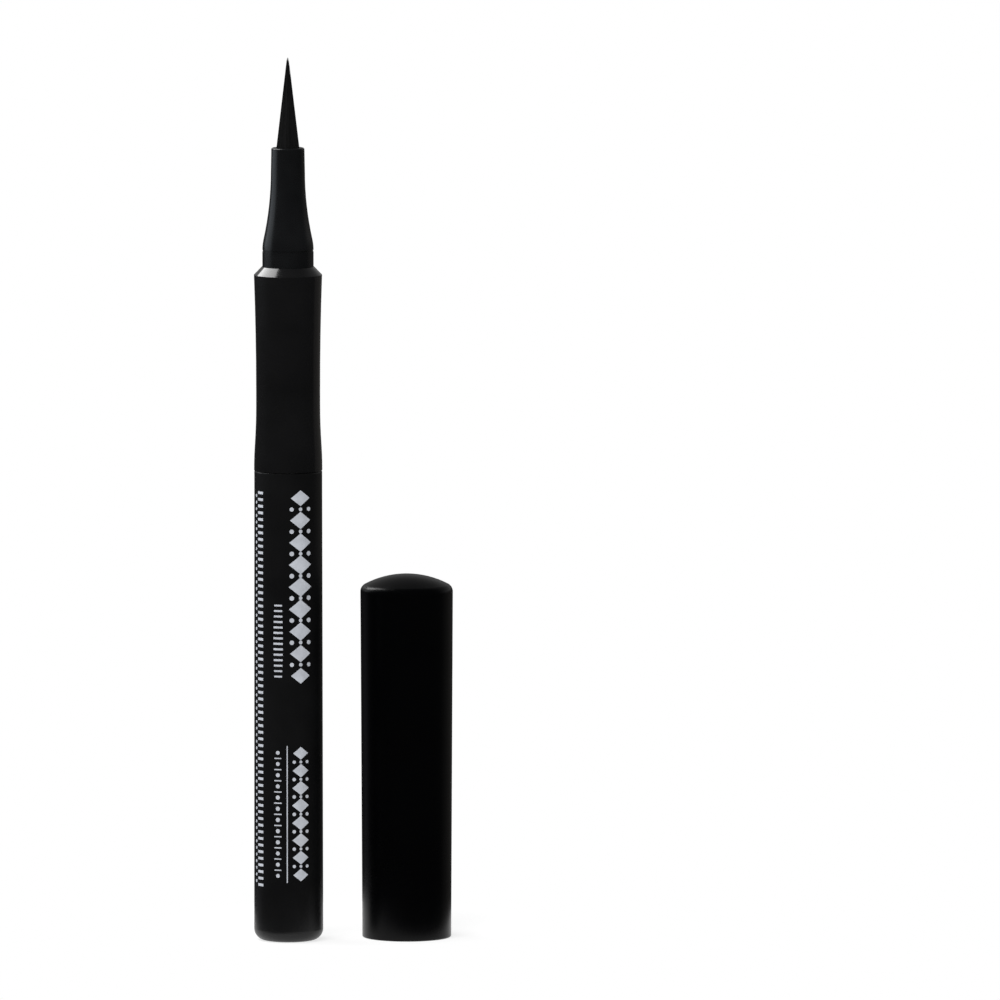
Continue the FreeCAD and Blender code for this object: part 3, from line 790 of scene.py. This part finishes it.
def pale_table(tone, radius, middle):
    """The table's finish: matt and pale, so that it keeps the shadow, and pure white at its edge.

    From below it is clear, so that the feet of the pieces on it can be seen.
    """
    material = bpy.data.materials.new("pale_table")
    material.use_nodes = True
    tree = material.node_tree
    tree.nodes.clear()
    rays = node(tree, "ShaderNodeLightPath").outputs
    mirrored = reckon(tree, "MAXIMUM", rays["Is Glossy Ray"], rays["Is Transmission Ray"])
    seen = reckon(tree, "MAXIMUM", rays["Is Camera Ray"], mirrored)
    place = node(tree, "ShaderNodeTexCoord").outputs["Object"]
    offset = node(tree, "ShaderNodeMapping", {"Vector": place, "Location": -middle}).outputs[0]
    away = vector_length(tree, offset)
    fade_start, fade_end = (part * radius for part in TABLE_FADE)
    paleness = between(tree, away, TABLE_PALENESS, 1.0, fade_start, fade_end)
    blotch = tinted(tree, speckle(tree, BLOTCH_SIZE), scaled_colour(tone, BLOTCH_SHADE), tone)
    matt = node(tree, "ShaderNodeBsdfDiffuse", {"Color": blotch}).outputs[0]
    white = node(tree, "ShaderNodeEmission", {"Color": PURE_WHITE, "Strength": 1.0}).outputs[0]
    above = mixed_shader(tree, reckon(tree, "MULTIPLY", seen, paleness), matt, white)
    clear = node(tree, "ShaderNodeBsdfTransparent").outputs[0]
    below = node(tree, "ShaderNodeNewGeometry").outputs["Backfacing"]
    node(tree, "ShaderNodeOutputMaterial", {"Surface": mixed_shader(tree, below, above, clear)})
    return material


def laid_table(sizes, tone):
    """The round table that the pen and the cap stand on."""
    turns = [2 * pi * step / TABLE_SIDES for step in range(TABLE_SIDES)]
    rim = [Vector((cos(turn), sin(turn), 0.0)) * sizes.table_radius for turn in turns]
    middle = Vector((sizes.table_across, sizes.table_back, -sizes.table_gap))
    mesh = bpy.data.meshes.new("table")
    mesh.from_pydata([middle + point for point in rim], [], [range(TABLE_SIDES)])
    mesh.materials.append(pale_table(tone, sizes.table_radius, middle))
    table = bpy.data.objects.new("table", mesh)
    bpy.context.scene.collection.objects.link(table)
    return table


def studio_world(elevation):
    """White to the eye. Gloss sees that white behind the pen, in a dim room with a paler band."""
    world = bpy.data.worlds.new("studio")
    bpy.context.scene.world = world
    world.use_nodes = True
    tree = world.node_tree
    tree.nodes.clear()
    rays = node(tree, "ShaderNodeLightPath").outputs
    direction = node(tree, "ShaderNodeTexCoord").outputs["Generated"]
    facing = node(tree, "ShaderNodeSeparateXYZ", {"Vector": direction}).outputs
    behind = between(tree, facing["Y"], 0.0, 1.0, *BAND_START)
    rising = between(tree, facing["Z"], *BAND_LEVELS, *BAND_FOOT)
    dimming = between(tree, facing["Z"], 1.0, BAND_HEAD_SHARE, *BAND_HEAD)
    band = reckon(tree, "MULTIPLY", behind, reckon(tree, "MULTIPLY", rising, dimming))
    room = reckon(tree, "MAXIMUM", band, ROOM_LEVEL)
    ahead = (0.0, cos(elevation), -sin(elevation))
    nearness = reckon_vector(tree, "DOT_PRODUCT", direction, ahead, "Value")
    paper = between(tree, nearness, 0.0, 1.0, *(cos(angle) for angle in PAPER_EDGE))
    backdrop = reckon(tree, "MAXIMUM", room, paper)
    unseen = blended(tree, rays["Is Glossy Ray"], DIFFUSE_FILL, backdrop)
    seen = reckon(tree, "MAXIMUM", rays["Is Camera Ray"], rays["Is Transmission Ray"])
    strength = blended(tree, seen, unseen, 1.0)
    light = node(tree, "ShaderNodeBackground", {"Color": PURE_WHITE, "Strength": strength}).outputs[0]
    node(tree, "ShaderNodeOutputWorld", {"Surface": light})


def aimed_camera(sizes):
    """A long lens that looks down on the pen, as far back as the width of the view asks for."""
    lens = bpy.data.cameras.new("camera")
    lens.lens = sizes.lens
    lens.clip_end = CAMERA_REACH
    camera = bpy.data.objects.new("camera", lens)
    back = Vector((0.0, -cos(sizes.elevation), sin(sizes.elevation)))
    aim = Vector((sizes.aim_across, 0.0, sizes.aim_height))
    camera.location = aim + back * (sizes.view_width * sizes.lens / lens.sensor_width)
    camera.rotation_euler = (-back).to_track_quat("-Z", "Y").to_euler()
    bpy.context.scene.collection.objects.link(camera)
    return camera


class EYELINER_OT_stage(bpy.types.Operator):
    """Pale table, soft lamps, white background and the camera"""

    bl_idname = "eyeliner.stage"
    bl_label = "Stage"

    def execute(self, context):
        scene = context.scene
        sizes = scene.eyeliner_stage
        table = laid_table(sizes, scene.eyeliner_colours.floor)
        for name, values in SOFTBOXES.items():
            softbox(name, *values)
        studio_world(sizes.elevation)
        scene.view_settings.view_transform = "Standard"
        scene.camera = aimed_camera(sizes)
        return {"FINISHED"}


class EYELINER_PT_sidebar(bpy.types.Panel):
    """Lists the steps, the sizes and the colours."""

    bl_idname = "EYELINER_PT_sidebar"
    bl_label = "Eyeliner Pen"
    bl_space_type = "VIEW_3D"
    bl_region_type = "UI"
    bl_category = "Eyeliner"

    def draw(self, context):
        for operator in OPERATORS:
            self.layout.operator(operator.bl_idname)
        for pointer, group in GROUPS.items():
            box = self.layout.box()
            for name in group.__annotations__:
                box.prop(getattr(context.scene, pointer), name)


OPERATORS = (
    EYELINER_OT_body,
    EYELINER_OT_nose,
    EYELINER_OT_cap,
    EYELINER_OT_inner_pieces,
    EYELINER_OT_brush,
    EYELINER_OT_foil,
    EYELINER_OT_stage,
)
CLASSES = (*GROUPS.values(), *OPERATORS, EYELINER_PT_sidebar)


def register():
    for entry in CLASSES:
        bpy.utils.register_class(entry)
    for pointer, group in GROUPS.items():
        setattr(bpy.types.Scene, pointer, PointerProperty(type=group))


def unregister():
    for pointer in GROUPS:
        delattr(bpy.types.Scene, pointer)
    for entry in reversed(CLASSES):
        bpy.utils.unregister_class(entry)


def main():
    register()
    bpy.ops.eyeliner.body()
    bpy.ops.eyeliner.nose()
    bpy.ops.eyeliner.cap()
    bpy.ops.eyeliner.inner_pieces()
    bpy.ops.eyeliner.brush()
    bpy.ops.eyeliner.foil()
    bpy.ops.eyeliner.stage()


if __name__ == "__main__":
    main()
